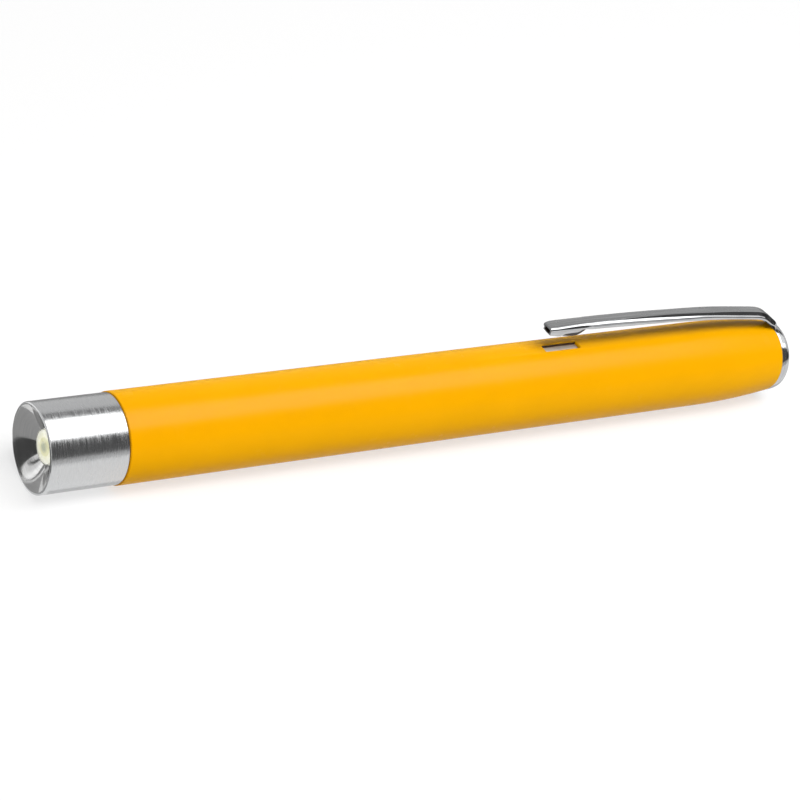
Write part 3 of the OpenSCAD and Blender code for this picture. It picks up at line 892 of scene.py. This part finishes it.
# The runs go from the flat top down one side: an angle in degrees, a length in millimetres
def section_runs(x):
    step = 0.02 + 0.43 * min(1.0, max(0.0, (x - 94.5) / 14)) + 0.15 * ramp(x, 114, 122)
    bevel = 0.20 + 0.15 * ramp(x, 89, 93) - 0.17 * ramp(x, 103, 118)
    facet = 0.14 + 0.18 * ramp(x, 85, 89.5) - 0.30 * ramp(x, 90.4, 92.0) + 0.07 * ramp(x, 103, 112)
    lean = 0.03 + 0.25 * ramp(x, 90.4, 92.4) - 0.20 * ramp(x, 103, 118)
    soft = 0.03 * (1 - ramp(x, 94.5, 98))
    runs = [(10, soft), (35, soft)] + held(57, step) + held(32, bevel) + [(44, 0.03)]
    return runs + held(57, facet) + [(67, 0.03)] + held(74, lean) + [(84, 0.03)]


def channel(half, runs, depth, sheet):
    edge = 0.04
    turns = [(math.radians(angle), length) for angle, length in runs]
    shrink = min(1.0, (depth - 0.12) / sum(length * math.sin(angle) for angle, length in turns))
    flat = half - shrink * sum(length * math.cos(angle) for angle, length in turns)
    right = [(flat - 0.02, 0.0), (flat, 0.0)]
    for angle, length in turns:
        y, d = right[-1]
        right.append((y + shrink * length * math.cos(angle), d + shrink * length * math.sin(angle)))
    inner, knee = half - sheet, min(sheet + 0.22, depth - edge - 0.03)
    right += [(half, depth - 2 * edge), (half, depth - edge)]
    right += [(half - 0.3 * edge, depth - 0.3 * edge), (half - edge, depth)]
    right += [(inner + edge, depth), (inner + 0.3 * edge, depth - 0.3 * edge), (inner, depth - edge)]
    right += [(inner, knee), (inner - 0.06, sheet + 0.06), (inner - 0.20, sheet)]
    return right + [(-y, d) for y, d in reversed(right)]


print("channel runs", len(section_runs(tip_x)))

# %% Loft the strip
sheet = 0.32
strip_points, station_size = [], 0
for i, (x, z) in enumerate(top_line):
    ax, az = top_line[max(0, i - 1)]
    bx, bz = top_line[min(len(top_line) - 1, i + 1)]
    along = Vector((bx - ax, bz - az)).normalized()
    inward = Vector((along.y, -along.x))
    nose = 1 - ramp(x, tip_x - 0.6, tip_x + 1.3)
    ease = 0.05 if i == 0 else 0.0
    half = 1.33 + 0.06 * ramp(x, 90, 115) - 0.22 * nose - ease
    depth = side_depth(x) - 0.15 * ramp(x, 126.2, 128.8) - 0.35 * ramp(x, 129.4, 130.9)
    section = channel(half, section_runs(x), depth, min(sheet, depth - 0.25))
    station_size = len(section)
    sunk = 0.12 * nose * nose + ease
    strip_points += [(x + inward.x * (d + sunk), y, z + inward.y * (d + sunk)) for y, d in section]
print("channel", station_size, "points a station")

# %% Skin the strip
PLATED, BRUSHED, WORN_PAINTED_DARK, PAINTED_SHADE = 0, 1, 2, 3
clip_metals = [chrome, brushed_chrome, worn_steel_painted_dark, painted_shade_metal]
run_count = len(section_runs(tip_x))
station_finish = [PLATED] * station_size
# The lower edges and the inside of the channel get the worn steel, painted dark for the shade and
# dark reflections there.
for k in range(run_count + 3, station_size - run_count - 4):
    station_finish[k] = WORN_PAINTED_DARK
for k in (0, station_size - 2, station_size - 1):
    station_finish[k] = BRUSHED
strip_faces, strip_finish = [], []
for i in range(len(top_line) - 1):
    strip_faces += band(i * station_size, (i + 1) * station_size, station_size)
    strip_finish += station_finish
for base in (0, (len(top_line) - 1) * station_size):
    strip_faces.append(tuple(base + k for k in range(station_size)))
    strip_finish.append(PLATED)
print("strip", len(strip_faces), "faces")

# %% [markdown]
# Under its tip the strip is folded round into a foot, which dips through the slot when the
# clip is pressed. From the side it hangs like a boat's hull, and in front the fold is open,
# so its end is a small bright rim round a hollow, whose darkness is painted shade. The keel
# rubs on the contact strip, and its worn steel is painted dark for the shade and dark
# reflections under the clip.

# %% Fold the foot
foot_front, foot_low_x, foot_back = tip_x + 0.12, 89.7, 92.1
foot_low_z, foot_front_z = 8.71, 9.76
foot_half = 0.55


def foot_keel(x):
    if x < foot_low_x:
        t = (x - foot_front) / (foot_low_x - foot_front)
        return foot_front_z + (foot_low_z - foot_front_z) * math.sin(math.pi / 2 * t)
    t = (x - foot_low_x) / (foot_back - foot_low_x)
    return foot_low_z + (arm_top(foot_back) - 0.95 - foot_low_z) * t ** 1.8


def hull(x):
    half = foot_half + 0.45 * (1 - ramp(x, foot_front - 0.6, 88.0))
    top, keel = arm_top(x) - sheet - 0.10, foot_keel(x)
    worn = keel + 0.10 + 0.48 * ramp(x, 86.4, 87.8) + 0.22 * ramp(x, 87.2, 89.2)
    heights = [worn, keel + 0.60, keel + 0.52, keel + 0.40, keel + 0.22, keel + 0.09, keel + 0.02]
    shares = [1.0, 1.0, 0.98, 0.92, 0.80, 0.60, 0.33]
    rows = [(half - 0.12, top), (half, top - 0.12)]
    for share, height in zip(shares, heights):
        rows.append((share * half, min(height, rows[-1][1] - 0.01)))
    rows.append((0.0, min(keel, rows[-1][1] - 0.01)))
    return rows + [(-y, z) for y, z in reversed(rows[:-1])]


foot_stations = 28
foot_points, foot_faces, foot_finish = [], [], []
for i in range(foot_stations + 1):
    x = foot_front + (foot_back - foot_front) * i / foot_stations
    foot_points += [(x, y, z) for y, z in hull(x)]
loop_size = len(hull(foot_front))
# The keel gets the worn steel, painted dark for the shade and dark reflections under the clip.
hull_finish = [WORN_PAINTED_DARK if 2 <= k <= loop_size - 4 else PLATED for k in range(loop_size)]
for i in range(foot_stations):
    foot_faces += band(i * loop_size, (i + 1) * loop_size, loop_size)
    foot_finish += hull_finish
foot_faces.append(tuple(foot_stations * loop_size + k for k in range(loop_size)))
foot_finish.append(PLATED)
print("foot keel lowest", round(min(p[2] for p in foot_points), 2), "mm over the axis")

# %% Open the foot's front
rim_share, hollow_depth = 0.70, 0.9
mouth = hull(foot_front)
mouth_z = (max(z for _, z in mouth) + min(z for _, z in mouth)) / 2
for x in (foot_front, foot_front + hollow_depth):
    foot_points += [(x, y * rim_share, mouth_z + (z - mouth_z) * rim_share) for y, z in mouth]
rim_loop = (foot_stations + 1) * loop_size
floor_loop = rim_loop + loop_size
foot_faces += band(0, rim_loop, loop_size) + band(rim_loop, floor_loop, loop_size)
foot_faces.append(tuple(floor_loop + k for k in range(loop_size)))
# The rim is plated, and the hollow's walls and floor get the painted shade finish.
foot_finish += [PLATED] * loop_size + [PAINTED_SHADE] * (loop_size + 1)
print("hollow", hollow_depth, "mm deep")

# %% [markdown]
# The strip ends in a flat ring that the tail cap clamps. The ring is turned like the head,
# then strip, foot and ring become one mesh, because on the real pen they are one piece of
# metal. When the clip is pressed the arm swings and the ring stays.

# %% Join strip, foot and ring into the clip
ring_r = (ring_high.y - ring_low.y) / 2 / mm
ring_hole = 1.56
ring_corners = [
    (ring_front, ring_hole, 0), (ring_front, ring_r, 0.07),
    (ring_back, ring_r, 0.04), (ring_back, ring_hole, 0)]
strip = make_piece("clip_strip", strip_points, strip_faces, clip_metals, strip_finish, crease=40)
foot = make_piece("clip_foot", foot_points, foot_faces, clip_metals, foot_finish, crease=50)
ring = turn_outline("clip_end_ring", eased(ring_corners), clip_metals)
bpy.ops.object.select_all(action="DESELECT")
for part in (strip, foot, ring):
    part.select_set(True)
bpy.context.view_layer.objects.active = strip
bpy.ops.object.join()
clip = bpy.context.view_layer.objects.active
clip.name = "spring_clip"
clip.data.name = "spring_clip"
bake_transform(clip)
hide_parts("clip_arm", "clip_ring")
print("clip", len(clip.data.polygons), "faces in one mesh")

# %% [markdown]
# The tail cap is a small plated button with a rounded edge and a barely domed back. It
# continues the ring's edge, so the two read as one bright band round the tail. A pin on
# its front goes through the ring and the tube and holds all three together.

# %% Turn the tail cap
cap_low, cap_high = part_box("tail_cap")
cap_back = pen_x(cap_high.x)
cap_front = ring_back + 0.02
pin_front, pin_r = pen_x(cap_low.x), 1.5
dome_rise = 0.12
cap_corners = [
    (pin_front, 0, 0), (pin_front, pin_r, 0.2),
    (cap_front, pin_r, 0), (cap_front, ring_r - 0.01, 0.03),
    (cap_front + 0.45, ring_r - 0.05, 0), (cap_back - dome_rise, ring_r - 0.22, 0.42)]
cap_corners += [(cap_back - dome_rise * (r / 5.0) ** 2, r, 0) for r in (4.6, 4.0, 3.2, 2.2, 1.1, 0)]
cap = turn_outline("tail_button", eased(cap_corners, 10), [chrome])
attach(cap, "barrel")
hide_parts("tail_cap")

# %% [markdown]
# Inside sit the parts that only show through the slot or with the head unscrewed: a nickel
# strip, brass rings, plastic pieces, a circuit board and two plain cells. Their CAD shapes
# are right, so they keep them, and each gets a finish of its own.

# %% Finish: nickel strip, brass and cell steel
def drawn_metal(name, dull, bright, low, high, per_mm, depth_mm, metal=1.0):
    finish, tree, shader = new_finish(name, Metallic=metal)
    marks = use(tree, drawn_lines, Per_mm=per_mm)
    mottle = use(tree, slow_drift, Size_mm=1.8)
    both = {0: marks.outputs["Height"], 1: mottle.outputs["Value"]}
    shade = add(tree, "ShaderNodeMath", both, operation="MULTIPLY")
    paint(tree, shader, shade.outputs[0], dull, bright)
    hang_gloss(tree, shader, 1.0, low, high)
    hang_bump(tree, shader, marks.outputs["Height"], depth_mm)
    return finish


strip_tan = drawn_metal(
    "satin_strip", (0.64, 0.55, 0.46), (0.82, 0.73, 0.63), 0.50, 0.62, (0.3, 5.0, 5.0), 0.003, 0.25)
nickel = drawn_metal(
    "nickel_strip", (0.50, 0.46, 0.41), (0.70, 0.66, 0.60), 0.30, 0.42, (0.2, 7.0, 7.0), 0.004)
brass = drawn_metal(
    "turned_brass", (0.62, 0.42, 0.14), (0.86, 0.66, 0.30), 0.20, 0.32, (7.0, 0.3, 0.3), 0.004)
cell_steel = drawn_metal(
    "cell_steel", (0.58, 0.58, 0.58), (0.78, 0.78, 0.77), 0.18, 0.30, (4.0, 1.0, 1.0), 0.003)


# %% Finish: moulded plastic and board
def moulded(name, dark, pale, low, high, grain_mm, depth_mm):
    finish, tree, shader = new_finish(name)
    flow = use(tree, slow_drift, Size_mm=5.0)
    paint(tree, shader, flow.outputs["Value"], dark, pale)
    hang_gloss(tree, shader, 1.5, low, high)
    grain = use(tree, slow_drift, Size_mm=grain_mm)
    hang_bump(tree, shader, grain.outputs["Value"], depth_mm)
    return finish


white_plastic = moulded(
    "white_moulding", (0.74, 0.73, 0.69), (0.82, 0.81, 0.78), 0.40, 0.52, 0.25, 0.004)
black_plastic = moulded(
    "black_moulding", (0.018, 0.018, 0.019), (0.032, 0.032, 0.034), 0.38, 0.50, 0.22, 0.005)
board_green = moulded(
    "board_mask", (0.012, 0.10, 0.040), (0.022, 0.15, 0.062), 0.22, 0.34, 0.18, 0.003)

# %% Finish: cell label
label, tree, shader = new_finish("plain_cell_label")
flow = use(tree, slow_drift, Size_mm=6.0)
label_blue = mix_colours(tree, flow.outputs["Value"], (0.020, 0.045, 0.13), (0.028, 0.060, 0.17))
front_low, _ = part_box("front_cell_can")
rear_low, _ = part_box("rear_cell_can")
stripe_in, stripe_grey = 5.0, (0.62, 0.63, 0.64)
for can_low in (front_low, rear_low):
    stripe = use(tree, cross_band, At_mm=pen_x(can_low.x) + stripe_in, Reach_mm=2.4)
    label_blue = mix_colours(tree, stripe.outputs["Mask"], label_blue, stripe_grey)
wire(tree, label_blue, shader.inputs["Base Color"])
hang_gloss(tree, shader, 2.0, 0.22, 0.32)
wrinkle = use(tree, slow_drift, Size_mm=2.6)
hang_bump(tree, shader, wrinkle.outputs["Value"], 0.004)

# %% [markdown]
# The battery spring is a wire cone that pushes the cells forward. When the head is
# unscrewed the cells follow it and the spring grows longer. The coil is one swept tube.

# %% Coil the spring
spring_low, spring_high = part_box("battery_spring")
spring_front, spring_back = pen_x(spring_low.x), pen_x(spring_high.x)
wire_r = 0.3
coil_front_r, coil_back_r = 2.6, 3.4
coil_turns, coil_steps, wire_sides = 6.0, 40, 12


def coil_point(turns):
    share = turns / coil_turns
    rise = ramp(share, 0.06, 0.94) * 0.5 + 0.5 * min(1.0, max(0.0, (share - 0.10) / 0.80))
    x = spring_front + wire_r + (spring_back - spring_front - 2 * wire_r) * rise
    r = coil_front_r + (coil_back_r - coil_front_r) * share
    return Vector(round_point(x, r, 2 * math.pi * turns))


coil_points, coil_faces = [], []
coil_count = int(coil_turns * coil_steps)
for s in range(coil_count + 1):
    here = coil_point(s / coil_steps)
    ahead = (coil_point((s + 0.5) / coil_steps) - coil_point((s - 0.5) / coil_steps)).normalized()
    out = Vector((0, here.y, here.z)).normalized()
    side = ahead.cross(out).normalized()
    out = side.cross(ahead)
    for k in range(wire_sides):
        angle = 2 * math.pi * k / wire_sides
        coil_points.append(tuple(here + wire_r * (math.cos(angle) * out + math.sin(angle) * side)))
for s in range(coil_count):
    coil_faces += band(s * wire_sides, (s + 1) * wire_sides, wire_sides)
coil_faces.append(tuple(range(wire_sides)))
coil_faces.append(tuple(coil_count * wire_sides + k for k in range(wire_sides)))
spring = make_piece("battery_coil", coil_points, coil_faces, [cell_steel], crease=60)
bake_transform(spring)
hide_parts("battery_spring")

# %% [markdown]
# The CAD nodes that stay visible take their finishes by the material slot that the record
# gives them, so a node added to the CAD later would be finished the same way.

# %% Finish the CAD nodes
slot_finish = {
    "lacquer": lacquer, "turned_aluminium": turned_metal, "bright_chrome": chrome,
    "contact_metal": nickel, "brass": brass, "clear_epoxy": resin, "phosphor": phosphor,
    "white_plastic": white_plastic, "black_plastic": black_plastic, "board": board_green,
    "cell_label": label, "cell_metal": cell_steel}
node_slots = {part["node"]: part["material_slot"] for part in frame["record"]["subparts"]}
for name, node in frame["nodes"].items():
    for place in node.material_slots:
        place.material = strip_tan if name == "contact_leaf" else slot_finish[node_slots[name]]
print(len(frame["nodes"]), "CAD nodes finished")
